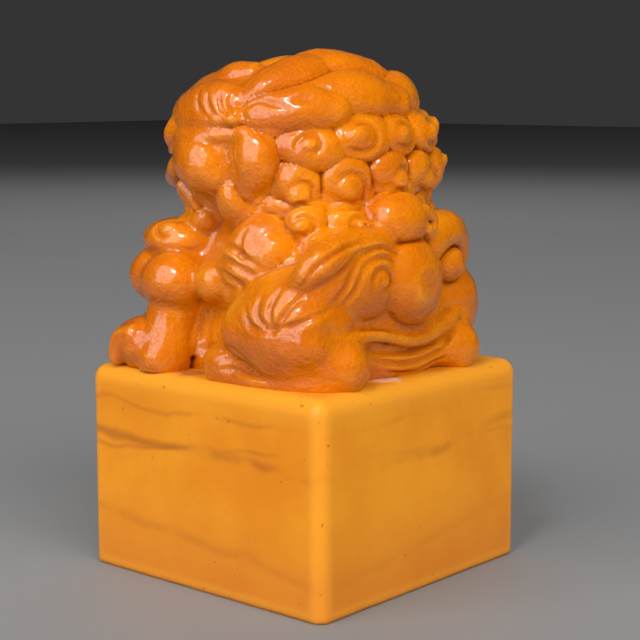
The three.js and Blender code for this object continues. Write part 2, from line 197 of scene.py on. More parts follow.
def strand(points, radii, flat=1.0, face=(0, 0, 1)):
    """A round strand along a smooth curve."""
    path, girth = smooth_path(points, radii)
    return tubes(path[:-1], path[1:], girth[:-1], girth[1:], flat, face)


def smooth_min(a, b, blend):
    if blend <= 0:
        return np.minimum(a, b)
    near = np.maximum(blend - np.abs(a - b), 0) / blend
    return np.minimum(a, b) - near * near * blend / 4


def stretched(field, axis, places, eased=False):
    """A grid read along one axis at places between its cells, and flat at the cells where it is eased."""
    places = np.minimum(places, field.shape[axis] - 1.001)
    cell = places.astype(int)
    share = places - cell
    if eased:
        share = share * share * (3 - 2 * share)
    share = share.astype(np.float32).reshape([-1 if i == axis else 1 for i in range(3)])
    return field.take(cell, axis) * (1 - share) + field.take(cell + 1, axis) * share


class Stone:
    """The grid that holds the skin of the whole carving, and the fields of the named masses."""

    def __init__(self, low, high, step):
        self.step = step
        self.first_cell = np.floor(np.asarray(low) / step).astype(int)
        self.shape = tuple(np.ceil(np.asarray(high) / step).astype(int) - self.first_cell + 1)
        self.low = self.first_cell * step
        self.skin = np.full(self.shape, FAR, np.float32)
        self.masses = {}

    def window(self, low, high):
        """The slices of the grid round a box."""
        first = np.floor((np.asarray(low) - self.low) / self.step).astype(int)
        last = np.ceil((np.asarray(high) - self.low) / self.step).astype(int) + 1
        return tuple(slice(max(a, 0), min(max(b, 1), n)) for a, b, n in zip(first, last, self.shape))

    def points(self, window):
        axes = [self.low[i] + self.step * np.arange(w.start, w.stop) for i, w in enumerate(window)]
        return np.stack(np.meshgrid(*axes, indexing="ij"), -1).astype(np.float32)

    def measure(self, form, reach):
        """The window round a form, and the distances in it. Beyond the reach of every part they are far."""
        window = self.window(form.low - reach, form.high + reach)
        field = np.full([max(w.stop - w.start, 0) for w in window], FAR, np.float32)
        for low, high, distance in form.parts:
            part = self.window(low - reach, high + reach)
            if all(w.stop > w.start for w in part):
                inner = tuple(slice(p.start - w.start, p.stop - w.start) for p, w in zip(part, window))
                np.minimum(field[inner], distance(self.points(part)), out=field[inner])
        return window, field

    def add(self, name, form, blend=WEAR):
        """Adds a form to the skin and to the named mass."""
        window, field = self.measure(form, REACH + blend)
        if field.size:
            self.skin[window] = smooth_min(self.skin[window], field, blend)
            self.masses.setdefault(name, []).append((window, field))

    def cut(self, form, blend):
        """Cuts a form out of the skin."""
        window, field = self.measure(form, REACH)
        if field.size:
            self.skin[window] = -smooth_min(-self.skin[window], field, blend)

    def on_skin(self, points):
        """The nearest places on the skin, and its outward directions there."""
        cells = (np.asarray(points, float) - self.low) / self.step
        for _ in range(6):
            value = sample(self.skin, cells)[:, None]
            outward = slope(self.skin, cells)
            outward /= np.maximum(np.linalg.norm(outward, axis=1, keepdims=True), 1e-6)
            cells -= np.clip(value, -1, 1) * outward / self.step
        return cells * self.step + self.low, outward

    def rolled_over(self, radius):
        """Distances from the surface that a ball rolled over the carving touches."""
        coarse = 2  # the ball rolls over a grid of every second cell
        margin = 8  # far cells round the grid
        skin = self.skin[::coarse, ::coarse, ::coarse] / (self.step * coarse)
        cells = radius / (self.step * coarse)
        grid = openvdb.FloatGrid(FAR)
        grid.copyFromArray(np.ascontiguousarray(np.pad(skin, margin, constant_values=FAR)))
        points, quads = grid.convertToQuads(isovalue=cells)
        rolled = openvdb.FloatGrid.createLevelSetFromPolygons(points, quads=quads, halfWidth=cells + 3)
        hull = np.empty(skin.shape, np.float32)
        rolled.copyToArray(hull, ijk=(margin, margin, margin))
        hull = (hull + cells) * self.step * coarse
        for axis, count in enumerate(self.shape):
            hull = stretched(hull, axis, np.arange(count) / coarse)
        return hull

    def bend(self, half, reach=REACH):
        """How the skin bends over a width of twice half: above zero on ridges, below it in creases."""
        near = np.clip(self.skin, -reach, reach)
        return blurred(near, round(half / self.step)) - near

    def crease_lines(self):
        """How strongly the skin bends inwards, near the forms: most where two of them meet."""
        nearness = np.clip((REACH - 0.2 - self.skin) / 0.3, 0, 1)
        return np.maximum(-self.bend(CREASE_WIDTH), 0) * nearness

    def share_out(self):
        """For each cell, how near the nearest mass is and the next one, and which one is nearest."""
        nearest = np.full(self.shape, FAR, np.float32)
        second = np.full(self.shape, FAR, np.float32)
        owner = np.full(self.shape, -1, np.int16)
        for index, name in enumerate(self.masses):
            window, field = self.mass(name)
            closer = field < nearest[window]
            second[window] = np.where(closer, nearest[window], np.minimum(second[window], field))
            nearest[window] = np.minimum(nearest[window], field)
            owner[window][closer] = index
        return nearest, second, owner

    def mass(self, name):
        """The window and the field of one mass."""
        parts = self.masses[name]
        starts = np.array([[w.start for w in window] for window, _ in parts])
        stops = np.array([[w.stop for w in window] for window, _ in parts])
        low, high = starts.min(0), stops.max(0)
        field = np.full(high - low, FAR, np.float32)
        for (window, part), start, stop in zip(parts, starts, stops):
            inner = tuple(slice(a, b) for a, b in zip(start - low, stop - low))
            field[inner] = np.minimum(field[inner], part)
        return tuple(slice(int(a), int(b)) for a, b in zip(low, high)), field


def sample(field, places):
    """Values of a grid at places given in cells, between the cells too."""
    top = np.array(field.shape) - 1.001
    places = np.clip(places, 0, top)
    cell = places.astype(int)
    share = places - cell
    value = np.zeros(len(places))
    for corner in np.ndindex(2, 2, 2):
        weight = np.prod(np.where(corner, share, 1 - share), axis=1)
        value += weight * field[tuple((cell + corner).T)]
    return value


def slope(field, places):
    """The slope of a grid at places given in cells, per cell."""
    reach = 0.5
    return np.stack(
        [(sample(field, places + side) - sample(field, places - side)) for side in np.eye(3) * reach], 1
    )


def settle(places, fields, step):
    """Moves rough corners of a mesh onto the surface, and onto both surfaces where two of them meet."""
    near = 0.8 * step  # a corner within this of a surface is held on it
    most = 0.6  # the furthest that a corner moves at once, in cells
    steady = np.eye(len(fields)) * 0.02 * step**2  # for surfaces that run the same way
    for _ in range(2):
        values = np.stack([sample(field, places) for field in fields], 1)
        slopes = np.stack([slope(field, places) for field in fields], 1)
        held = (np.abs(values) < near) | (values >= values.max(1, keepdims=True))
        slopes = slopes * held[:, :, None]
        values = values * held
        square = slopes @ slopes.transpose(0, 2, 1) + steady
        move = -np.einsum("nij,ni->nj", slopes, np.linalg.solve(square, values[:, :, None])[:, :, 0])
        size = np.linalg.norm(move, axis=1, keepdims=True)
        places = places + move * np.minimum(1, most / np.maximum(size, 1e-9))
    return places


def blurred(field, half, passes=3):
    """A field smoothed by passes of a box that reaches a number of cells to each side, along each axis."""
    for _ in range(passes):
        for axis in range(3):
            first = np.repeat(field.take([0], axis), half + 1, axis)
            last = np.repeat(field.take([-1], axis), half, axis)
            total = np.cumsum(np.concatenate([first, field, last], axis), axis, dtype=np.float32)
            width, count = 2 * half + 1, field.shape[axis]
            field = (total.take(range(width, width + count), axis) - total.take(range(count), axis)) / width
    return field


def wobble(shape, step, seed):
    """Smooth unevenness all through a grid."""
    total = np.zeros(shape, np.float32)
    for spacing, height in WOBBLE:
        count = [int(n * step / spacing) + 2 for n in shape]
        field = np.random.default_rng(seed).standard_normal(count).astype(np.float32)
        for axis, n in enumerate(shape):
            field = stretched(field, axis, np.arange(n) * step / spacing, eased=True)
        total += field * height
    return total


def mesh_of(name, fields, step, low, attributes):
    """A closed mesh of where all the fields are below zero, with its creases sharp.

    The first field is the carved skin, and the others are flat faces or faces towards neighbours."""
    margin = 1
    solid = np.pad(np.maximum.reduce(fields), margin, constant_values=step)
    grid = openvdb.FloatGrid(3 * step)
    grid.copyFromArray(np.clip(solid, -3 * step, 3 * step).astype(np.float32))
    points, quads = grid.convertToQuads(isovalue=0)
    places = settle(np.asarray(points, float) - margin, fields, step)
    mesh = bpy.data.meshes.new(name)
    mesh.from_pydata(((places * step + low) * MM).tolist(), [], np.asarray(quads).tolist())
    mesh.update()
    turn_outwards(mesh)
    centres = places[np.asarray(quads)].mean(1)
    kind = np.stack([sample(field, centres) for field in fields], 1).argmax(1)
    mark_creases(mesh, kind)
    for label, field in attributes.items():
        values = sample(field, places).astype(np.float32)
        mesh.attributes.new(label, "FLOAT", "POINT").data.foreach_set("value", values)
    return mesh


def turn_outwards(mesh):
    points = np.empty(len(mesh.vertices) * 3)
    mesh.vertices.foreach_get("co", points)
    mesh.calc_loop_triangles()
    corners = np.empty(len(mesh.loop_triangles) * 3, int)
    mesh.loop_triangles.foreach_get("vertices", corners)
    a, b, c = points.reshape(-1, 3)[corners.reshape(-1, 3)].transpose(1, 0, 2)
    if np.einsum("ij,ij->", a, np.cross(b, c)) < 0:
        mesh.flip_normals()


def mark_creases(mesh, kind):
    """Edges between faces of two kinds are sharp, and the rest are smooth."""
    edges = np.empty(len(mesh.loops), int)
    mesh.loops.foreach_get("edge_index", edges)
    per_face = len(mesh.loops) // len(mesh.polygons)
    kinds = np.repeat(kind, per_face)
    highest = np.full(len(mesh.edges), -1)
    lowest = np.full(len(mesh.edges), 9)
    np.maximum.at(highest, edges, kinds)
    np.minimum.at(lowest, edges, kinds)
    mesh.polygons.foreach_set("use_smooth", np.ones(len(mesh.polygons), bool))
    mesh.attributes.new("sharp_edge", "BOOLEAN", "EDGE").data.foreach_set("value", highest != lowest)


def new_object(name, data):
    """A new object of the scene."""
    obj = bpy.data.objects.new(name, data)
    bpy.context.scene.collection.objects.link(obj)
    return obj


# Geometry Nodes for what repeats or follows a path


class Tree:
    """Builds a node tree with named inputs."""

    def __init__(self, name, inputs):
        self.tree = bpy.data.node_groups.new(name, "GeometryNodeTree")
        interface = self.tree.interface
        interface.new_socket("Geometry", in_out="INPUT", socket_type="NodeSocketGeometry")
        for label, (kind, value) in inputs.items():
            socket = interface.new_socket(label, in_out="INPUT", socket_type="NodeSocket" + kind)
            if value is not None:
                socket.default_value = value
        interface.new_socket("Geometry", in_out="OUTPUT", socket_type="NodeSocketGeometry")
        self.given = self.tree.nodes.new("NodeGroupInput").outputs
        self.result = self.tree.nodes.new("NodeGroupOutput")

    def add(self, kind, settings=(), **sockets):
        """Adds a node, with its settings, and links or sets its sockets: by name, or by number as i0, i1."""
        node = self.tree.nodes.new(kind)
        for key, value in dict(settings).items():
            setattr(node, key, value)
        for label, value in sockets.items():
            key = int(label[1:]) if label[1:].isdigit() else label.replace("_", " ")
            self.connect(node.inputs[key], value)
        return node

    def connect(self, socket, value):
        if isinstance(value, bpy.types.NodeSocket):
            self.tree.links.new(value, socket)
        elif isinstance(value, bpy.types.Node):
            self.tree.links.new(value.outputs[0], socket)
        else:
            socket.default_value = value

    def named(self, label, kind):
        return self.add("GeometryNodeInputNamedAttribute", {"data_type": kind}, Name=label).outputs[0]

    def maths(self, operation, *values):
        sockets = {f"i{i}": value for i, value in enumerate(values)}
        return self.add("ShaderNodeMath", {"operation": operation}, **sockets).outputs[0]

    def ramp(self, value, given, made):
        """A value carried smoothly from one range to another."""
        return self.add("ShaderNodeMapRange", {"interpolation_type": "SMOOTHSTEP"}, Value=value,
                        From_Min=given[0], From_Max=given[1], To_Min=made[0], To_Max=made[1]).outputs[0]

    def store(self, label, geometry, value):
        return self.add("GeometryNodeStoreNamedAttribute", {"data_type": "FLOAT", "domain": "POINT"},
                        Geometry=geometry, Name=label, Value=value)

    def finish(self, curves):
        """Ends the tree with plain lines, which keep the attributes of their points."""
        real = self.add("GeometryNodeRealizeInstances", Geometry=curves)
        lines = self.add("GeometryNodeCurveToMesh", Curve=real)
        done = self.add("GeometryNodeSetMaterial", Geometry=lines, Material=self.given["Material"])
        self.connect(self.result.inputs[0], done)
        return self.tree


def snail_curl_tree():
    """The groove of a snail curl on each point. It winds in from the edge of a lobe to the bead."""
    tree = Tree("Snail curls", {
        "Turns": ("Float", 0.85),
        "Bead": ("Float", 0.52),
        "Steps": ("Int", 18),
        "Material": ("Material", None),
    })
    given = tree.given
    spiral = tree.add("GeometryNodeCurveSpiral", Resolution=given["Steps"], Rotations=given["Turns"],
                      Start_Radius=1.0, End_Radius=given["Bead"], Height=0.0, Reverse=False)
    along = tree.add("GeometryNodeSplineParameter").outputs["Factor"]
    start = tree.ramp(along, (-0.04, 0.22), (0.0, 1.0))
    end = tree.ramp(along, (0.8, 1.03), (1.0, 0.0))
    measured = tree.store("girth", spiral, tree.maths("MULTIPLY", start, end))
    turned = tree.add("FunctionNodeEulerToRotation", Euler=tree.named("turn", "FLOAT_VECTOR"))
    placed = tree.add("GeometryNodeInstanceOnPoints", Points=given["Geometry"], Instance=measured,
                      Rotation=turned, Scale=tree.named("size", "FLOAT_VECTOR"))
    return tree.finish(placed)


def combed_hair_tree():
    """Strands side by side along a guide, spread over the stone and drawn together where the guide says."""
    tree = Tree("Combed hair", {
        "Strands": ("Int", 4),
        "Steps": ("Int", 22),
        "Material": ("Material", None),
    })
    given = tree.given
    guide = tree.add("GeometryNodeMeshToCurve", Mesh=given["Geometry"])
    smooth = tree.add("GeometryNodeCurveSplineType", {"spline_type": "CATMULL_ROM"}, Curve=guide)
    even = tree.add("GeometryNodeResampleCurve", Curve=smooth, Count=given["Steps"])
    copies = tree.add("GeometryNodeDuplicateElements", {"domain": "SPLINE"}, Geometry=even,
                      Amount=given["Strands"])
    last = tree.maths("SUBTRACT", given["Strands"], 1.0)
    share = tree.maths("DIVIDE", copies.outputs["Duplicate Index"], last)
    side = tree.maths("MULTIPLY", tree.maths("SUBTRACT", share, 0.5), tree.named("spread", "FLOAT"))
    tangent = tree.add("GeometryNodeInputTangent").outputs[0]
    across = tree.add("ShaderNodeVectorMath", {"operation": "CROSS_PRODUCT"}, i0=tangent,
                      i1=tree.named("out", "FLOAT_VECTOR"))
    even_across = tree.add("ShaderNodeVectorMath", {"operation": "NORMALIZE"}, i0=across)
    shift = tree.add("ShaderNodeVectorMath", {"operation": "SCALE"}, i0=even_across, Scale=side)
    spread = tree.add("GeometryNodeSetPosition", Geometry=copies.outputs["Geometry"], Offset=shift)
    return tree.finish(spread)


def grown(tree, points, edges, attributes, settings):
    """Runs a tree on a few points. Gives the links of its lines: their starts, their ends and the girths."""
    seed = bpy.data.meshes.new("seed")
    seed.from_pydata([tuple(point) for point in points], edges, [])
    for label, values in attributes.items():
        values = np.asarray(values, np.float32)
        kind, field = ("FLOAT_VECTOR", "vector") if values.ndim == 2 else ("FLOAT", "value")
        seed.attributes.new(label, kind, "POINT").data.foreach_set(field, values.ravel())
    obj = new_object("seed", seed)
    modifier = obj.modifiers.new("tree", "NODES")
    modifier.node_group = tree
    for item in tree.interface.items_tree:
        if item.in_out == "INPUT" and item.name in settings:
            modifier[item.identifier] = settings[item.name]
    depsgraph = bpy.context.evaluated_depsgraph_get()
    made = bpy.data.meshes.new_from_object(obj.evaluated_get(depsgraph), depsgraph=depsgraph)
    places = np.array([vertex.co for vertex in made.vertices])
    girth = np.array([value.value for value in made.attributes["girth"].data])
    first, last = np.array([edge.vertices[:] for edge in made.edges]).T
    for data in (obj, seed, made):
        (bpy.data.objects if data is obj else bpy.data.meshes).remove(data)
    return places[first], places[last], girth[first], girth[last]


# Shader maths


class Value:
    """A number in a material, which adds its Math nodes as it is worked with."""

    def __init__(self, material, socket):
        self.material = material
        self.socket = socket

    def combine(self, operation, *others):
        return self.material.node("ShaderNodeMath", {"operation": operation}, 0, self, *others)

    def __add__(self, other):
        return self.combine("ADD", other)

    def __sub__(self, other):
        return self.combine("SUBTRACT", other)

    def __rsub__(self, other):
        return self.combine("MULTIPLY", -1.0) + other

    def __mul__(self, other):
        return self.combine("MULTIPLY", other)

    def __pow__(self, other):
        return self.combine("POWER", other)

    __radd__ = __add__
    __rmul__ = __mul__

    def clamped(self):
        return self.combine("MAXIMUM", 0.0).combine("MINIMUM", 1.0)

    def absolute(self):
        return self.combine("ABSOLUTE")

    def between(self, low, high):
        """0 below low, 1 above high, and smooth in between."""
        settings = {"interpolation_type": "SMOOTHSTEP"}
        return self.material.node("ShaderNodeMapRange", settings, 0, self, low, high, 0.0, 1.0)


class Material:
    """A procedural material on a Principled shader."""

    def __init__(self, name, **constants):
        self.data = bpy.data.materials.new(name)
        self.data.use_nodes = True
        self.tree = self.data.node_tree
        self.shader = self.tree.nodes["Principled BSDF"]
        for label, value in constants.items():
            self.shader.inputs[label.replace("_", " ")].default_value = value
        self.place = self.node("ShaderNodeTexCoord", {}, "Object")

    def node(self, kind, settings, output, *values):
        """Adds a node: its settings first, then values or links for its sockets in order."""
        node = self.tree.nodes.new(kind)
        for key, value in settings.items():
            setattr(node, key, value)
        for socket, value in zip([s for s in node.inputs if s.enabled], values):
            self.link(value, socket)
        return Value(self, node.outputs[output])

    def link(self, value, socket):
        if isinstance(value, Value):
            self.tree.links.new(value.socket, socket)
        else:
            socket.default_value = value

    def give(self, label, value):
        """Sets or links a socket of the shader."""
        self.link(value, self.shader.inputs[label])

    def noise(self, scale, detail, roughness, place=None):
        return self.node("ShaderNodeTexNoise", {}, 0, place or self.place, scale, detail, roughness)

    def mix(self, share, a, b):
        a, b = (value if isinstance(value, Value) else (*value, 1) for value in (a, b))
        node = self.tree.nodes.new("ShaderNodeMix")
        node.data_type = "RGBA"  # its colours are sockets 6 and 7, and its result is 2
        self.link(share, node.inputs[0])
        self.link(a, node.inputs[6])
        self.link(b, node.inputs[7])
        return Value(self, node.outputs[2])

    def moved(self, vector, scale):
        """The place in another pattern's own coordinates."""
        mapping = self.tree.nodes.new("ShaderNodeMapping")
        self.link(self.place, mapping.inputs["Vector"])
        mapping.inputs["Location"].default_value = vector
        mapping.inputs["Scale"].default_value = scale
        return Value(self, mapping.outputs[0])

    def axis(self, letter):
        return self.node("ShaderNodeSeparateXYZ", {}, letter, self.place)

    def attribute(self, label):
        return self.node("ShaderNodeAttribute", {"attribute_name": label}, "Fac")

    def bump(self, height, distance):
        node = self.tree.nodes.new("ShaderNodeBump")
        node.inputs["Strength"].default_value = 1
        node.inputs["Distance"].default_value = distance
        self.link(height, node.inputs["Height"])
        self.tree.links.new(node.outputs[0], self.shader.inputs["Normal"])


WAX = {"Coat_Roughness": 0.15, "Coat_IOR": 1.65, "IOR": 1.48, "Specular_IOR_Level": 0.1,
       "Subsurface_Scale": 0.0008}

# Colours of the carved stone
DEEP_ORANGE = (0.57, 0.125, 0.0004)
BRIGHT_ORANGE = (0.73, 0.21, 0.0006)
STREAK_ORANGE = (0.58, 0.12, 0.0005)
# Painted shade for the hollows
HOLLOW_SHADE_ORANGE = (0.55, 0.085, 0.0005)
# Painted shade for the lowest parts
LOW_SHADE_ORANGE = (0.50, 0.095, 0.0005)
# Painted shade for the creases
CREASE_SHADE_BROWN = (0.16, 0.016, 0.001)
# Painted highlight for the ridges
RIDGE_HIGHLIGHT_ORANGE = (0.86, 0.34, 0.02)
SPECK_BROWN = (0.20, 0.04, 0.01)

# Colours of the block
HONEY = (0.72, 0.23, 0.008)
PALE_HONEY = (0.82, 0.31, 0.014)
FOOT_HONEY = (0.62, 0.17, 0.02)
RIM_HONEY = (0.78, 0.30, 0.02)
# Painted highlight for the rounded edges
EDGE_HIGHLIGHT_HONEY = (0.82, 0.34, 0.03)
VEIN_BROWN = (0.36, 0.085, 0.012)
BLOCK_SPECK = (0.25, 0.06, 0.012)

# Height, tilt, width and strength of each vein
VEINS = ((16.7, 0.05, 0.77, 0.6), (19.7, 0.02, 0.44, 0.3), (15.3, -0.06, 0.44, 0.35), (9.0, 0.1, 0.88, 0.25))

# Place, radius and colour of each chip in the top of the block
CHIPS = (
    (9.0, -6.4, 1.5, (0.85, 0.62, 0.5)),
    (2.9, 12.0, 2.1, (0.85, 0.6, 0.45)),
    (12.3, -3.4, 1.7, (0.3, 0.06, 0.03)),
)


def carved_stone():
    """The lion: saturated orange, with red-brown painted shade in the creases, painted shade in the hollows
    and low down, and a painted highlight on the ridges.
    """
    stone = Material("carved honey stone", Subsurface_Weight=0.25, Subsurface_Radius=(1.1, 0.42, 0.14),
                     **WAX)
    # Painted shade: red-brown darkening where the skin bends inwards into a crease
    crease = (0 - stone.attribute("crease")).between(0.03, 0.15)
    # Painted shade: darker red where the skin curves inwards over a wider hollow
    hollow = (0 - stone.attribute("hollow")).between(0.05, 0.75)
    # Painted highlight: paler along the ridges and the lips of the creases
    ridge_highlight = stone.attribute("crease").between(0.01, 0.08)
    clouds = stone.noise(95, 4, 0.6).between(0.34, 0.68)
    streaks = stone.noise(260, 3, 0.55, stone.moved((0, 0, 0.01), (1, 1, 0.5))).between(0.42, 0.74)
    # Painted shade: darker over the lowest parts of the lion, its legs and feet
    foot = 1 - stone.axis("Z").between(0.019, 0.027)
    specks = stone.noise(1900, 2, 0.5).between(0.72, 0.78)
    colour = stone.mix(clouds, DEEP_ORANGE, BRIGHT_ORANGE)
    # Painted shade in the hollows, low down and in the creases, and a painted highlight on the ridges, go
    # over the stone's own clouds, streaks and specks
    for share, tint in ((streaks * 0.45, STREAK_ORANGE), (hollow * 0.4, HOLLOW_SHADE_ORANGE),
                        (foot * 0.15, LOW_SHADE_ORANGE), (crease * 0.85, CREASE_SHADE_BROWN),
                        (ridge_highlight * 0.35, RIDGE_HIGHLIGHT_ORANGE), (specks * 0.5, SPECK_BROWN)):
        colour = stone.mix(share, colour, tint)
    polish = stone.noise(420, 3, 0.6)
    frost = stone.noise(3600, 2, 0.6).between(0.4, 0.7)
    stone.give("Base Color", colour)
    stone.give("Roughness", 0.22 + polish * 0.16 + frost * 0.14 + crease * 0.2)
    stone.give("Coat Weight", (0.95 - crease * 0.9 - frost * 0.6).clamped())
    grain = stone.noise(3200, 2, 0.6) * 0.9 + stone.noise(1200, 3, 0.65) * 1.2 + stone.noise(430, 2, 0.5)
    stone.bump(grain, 0.00013)
    return stone.data


def block_stone():
    """The block: paler honey, satin, redder towards the foot, with wavy red-brown veins, and a painted
    highlight on its rounded edges.
    """
    stone = Material("honey block stone", Subsurface_Weight=0.3, Subsurface_Radius=(1.2, 0.55, 0.2), **WAX)
    across, depth, height = (stone.axis(letter) for letter in "XYZ")
    clouds = stone.noise(70, 4, 0.62).between(0.3, 0.7)
    foot = 1 - height.between(0.0, 0.011)
    rim = height.between(0.0165, 0.0195)
    # Painted highlight: paler honey along the rounded edges
    edge = stone.attribute("crease").between(0.01, 0.1)
    colour = stone.mix(clouds, HONEY, PALE_HONEY)
    for share, tint in ((foot * 0.6, FOOT_HONEY), (rim * 0.6, RIM_HONEY), (edge * 0.35, EDGE_HIGHLIGHT_HONEY)):
        colour = stone.mix(share, colour, tint)

    sway = stone.noise(55, 3, 0.5) * 0.0042 + stone.noise(240, 2, 0.5) * 0.0008
    broken = stone.noise(120, 3, 0.6).between(0.35, 0.6)
    back_face = depth.between(0.0138, 0.0148)  # the veins are fainter there
    for level, tilt, width, strength in VEINS:
        line = (height + sway + across * tilt + depth * tilt - level * MM).absolute()
        vein = (1 - line.between(0.0, width * MM)) * broken * (1 - back_face * 0.5) * strength
        colour = stone.mix(vein, colour, VEIN_BROWN)
    specks = stone.noise(1400, 2, 0.5).between(0.70, 0.76)
    colour = stone.mix(specks * 0.5, colour, BLOCK_SPECK)

    rough = stone.noise(900, 3, 0.65)
    top_face = height.between(0.0194, 0.0198)
    chips = 0
    for x, y, radius, tint in CHIPS:
        away = ((across - x * MM) ** 2 + (depth - y * MM) ** 2) ** 0.5 + (rough - 0.5) * 0.002
        chip = (1 - away.between(radius * 0.5 * MM, radius * MM)) * top_face
        colour = stone.mix(chip * rough * 1.3, colour, tint)
        chips = chips + chip
    stone.give("Base Color", colour)
    stone.give("Roughness", 0.3 + stone.noise(300, 4, 0.6) * 0.2 + chips * 0.3)
    stone.give("Coat Weight", 0.2)
    stone.bump(stone.noise(1500, 3, 0.6) + stone.noise(350, 3, 0.5) * 0.6 + chips * rough * 6, 0.00003)
    return stone.data


# Places on the head

FORWARD = np.array([math.sin(HEAD_TURN), -math.cos(HEAD_TURN), 0])
LEFTWARD = np.array([math.cos(HEAD_TURN), math.sin(HEAD_TURN), 0])
UP = np.array([0, 0, 1.0])
HEAD_AXES = np.stack([FORWARD, LEFTWARD, UP])


def at(x, y, z):
    """A place above the top of the block."""
    return np.array([x, y, z + TOP])


HEAD = at(-HEAD_SHIFT, -HEAD_SHIFT, HEAD_HEIGHT)


def head_direction(longitude, latitude):
    """A direction from the middle of the head: longitude from the nape towards the left ear."""
    lon, lat = math.radians(longitude), math.radians(latitude)
    return np.array([-math.cos(lat) * math.cos(lon), math.cos(lat) * math.sin(lon), math.sin(lat)])


def mane_normal(longitude, latitude):
    return unit((head_direction(longitude, latitude) / MANE) @ HEAD_AXES)


def on_mane(longitude, latitude, lift=0.0):
    place = (head_direction(longitude, latitude) * MANE) @ HEAD_AXES
    return HEAD + place + mane_normal(longitude, latitude) * lift


def head_ball(longitude, latitude, lift, radii):
    return ball(on_mane(longitude, latitude, lift), radii, HEAD_AXES)


def mane_points(places, lift):
    """Points on the mane from longitude, latitude and, where it differs from the rest, a lift."""
    return [on_mane(lon, lat, own[0] if own else lift) for lon, lat, *own in places]


def head_strand(places, radii, lift=0.0, flat=1.0):
    middle = places[len(places) // 2]
    return strand(mane_points(places, lift), radii, flat, mane_normal(*middle[:2]))


def mirrored(places, side):
    return [(side * lon, *rest) for lon, *rest in places]


lion = Stone((-HALF - 0.4, -HALF - 0.4, TOP - 0.6), (HALF + 0.4, HALF + 0.4, TOP + 31.4), LION_STEP)
grooves = []
curls = snail_curl_tree()
combed = combed_hair_tree()


def facing(normal, heading):
    """Axes on the stone: along a heading from the east, across it, and outwards."""
    east = unit(np.cross(UP, normal))
    north = np.cross(normal, east)
    angle = math.radians(heading)
    along = east * math.cos(angle) + north * math.sin(angle)
    return np.stack([along, np.cross(normal, along), normal])


def put_curl(name, top, normal, length, width, tilt, bead, hand, heading, blend=WEAR):
    """A lobe with its top at a place, and a bead in the bend of a groove that winds in over it.

    Length and width are half the lobe's, and tilt turns it. The bead has a place along and across the
    lobe, and a radius. The groove starts at the heading, and hand says which way round it winds."""
    axes = facing(normal, tilt)
    lion.add(name, ball(top - normal * LOBE_DEPTH, [length, width, LOBE_DEPTH], axes), blend)
    along, across, radius = bead
    middle = top + axes[0] * along + axes[1] * across
    lion.add(name, ball(middle - normal * radius * BEAD_DEPTH, [radius * 1.1, radius, radius], axes), 0.3)
    wound = facing(normal, heading)
    long, wide = CURL_SPIRAL
    attributes = {"turn": [euler_of(wound.T)], "size": [[radius * long, radius * wide * hand, 1]]}
    starts, ends, share, _ = grown(curls, [middle], [], attributes, {})
    path = np.vstack([starts, ends[-1:]])
    grooves.append((path, np.append(share, 0.0), *CURL_GROOVE))


def euler_of(axes):
    """The turn whose columns are these axes, as angles about X, Y and Z."""
    x = math.atan2(axes[2, 1], axes[2, 2])
    y = math.asin(max(-1.0, min(1.0, -axes[2, 0])))
    z = math.atan2(axes[1, 0], axes[0, 0])
    return [x, y, z]


def mane_curl(name, longitude, latitude, length, width, tilt, bead, hand, heading, lift=LOBE_LIFT):
    """A curl on the mane. At a negative longitude, on the right of the head, the rest is mirrored."""
    if longitude < 0:
        tilt, heading, hand, bead = 180 - tilt, 180 - heading, -hand, (-bead[0], bead[1], bead[2])
    top, normal = on_mane(longitude, latitude, lift), mane_normal(longitude, latitude)
    put_curl(name, top, normal, length, width, tilt, bead, hand, heading)


def gouge(points, width, depth):
    """Marks a groove near points on the skin, shallow at both ends. It is cut when every mass is in place."""
    path, share = smooth_path(points, [0.2, *[1.0] * (len(points) - 2), 0.2], per_span=5)
    grooves.append((path, share, width, depth))


def cut_grooves():
    """Cuts the marked grooves along the skin, round at the bottom, and shallower at a share under 1."""
    for path, share, width, depth in grooves:
        radius = (width**2 / 4 + depth**2) / (2 * depth)
        places, outward = lion.on_skin(path)
        middle = places + outward * (radius - depth * share)[:, None]
        girth = np.full(len(path), radius)
        lion.cut(tubes(middle[:-1], middle[1:], girth[:-1], girth[1:]), GROOVE_EDGE)


def comb(name, places, girth, spread, strands):
    """A bundle of strands on the head, with a girth and a spread at each place."""
    edges = [(i, i + 1) for i in range(len(places) - 1)]
    out = [mane_normal(lon, lat) for lon, lat, *_ in places]
    attributes = {"out": out, "girth": girth, "spread": spread}
    links = grown(combed, mane_points(places, 0), edges, attributes, {"Strands": strands})
    lion.add(name, tubes(*links), 0.2)


# The lion, mass by mass


def carve_skull():
    """The skull with its forehead, the muzzle and the lower jaw."""
    lion.add("skull", ball(HEAD, MANE - MANE_FLOOR, HEAD_AXES))
    lion.add("skull", head_ball(180, 36, -3.4, [5.6, 7.2, 5.2]), 1.0)
    lion.add("muzzle", head_ball(180, 0, -2.8, [3.8, 5.6, 4.2]), 0.8)
    lion.add("lower_jaw", head_ball(180, -40, -2.2, [4.2, 4.8, 2.5]), 0.4)
    lion.add("lower_jaw", head_ball(180, -31, 0, [1.8, 2.8, 1.6]), 0.4)


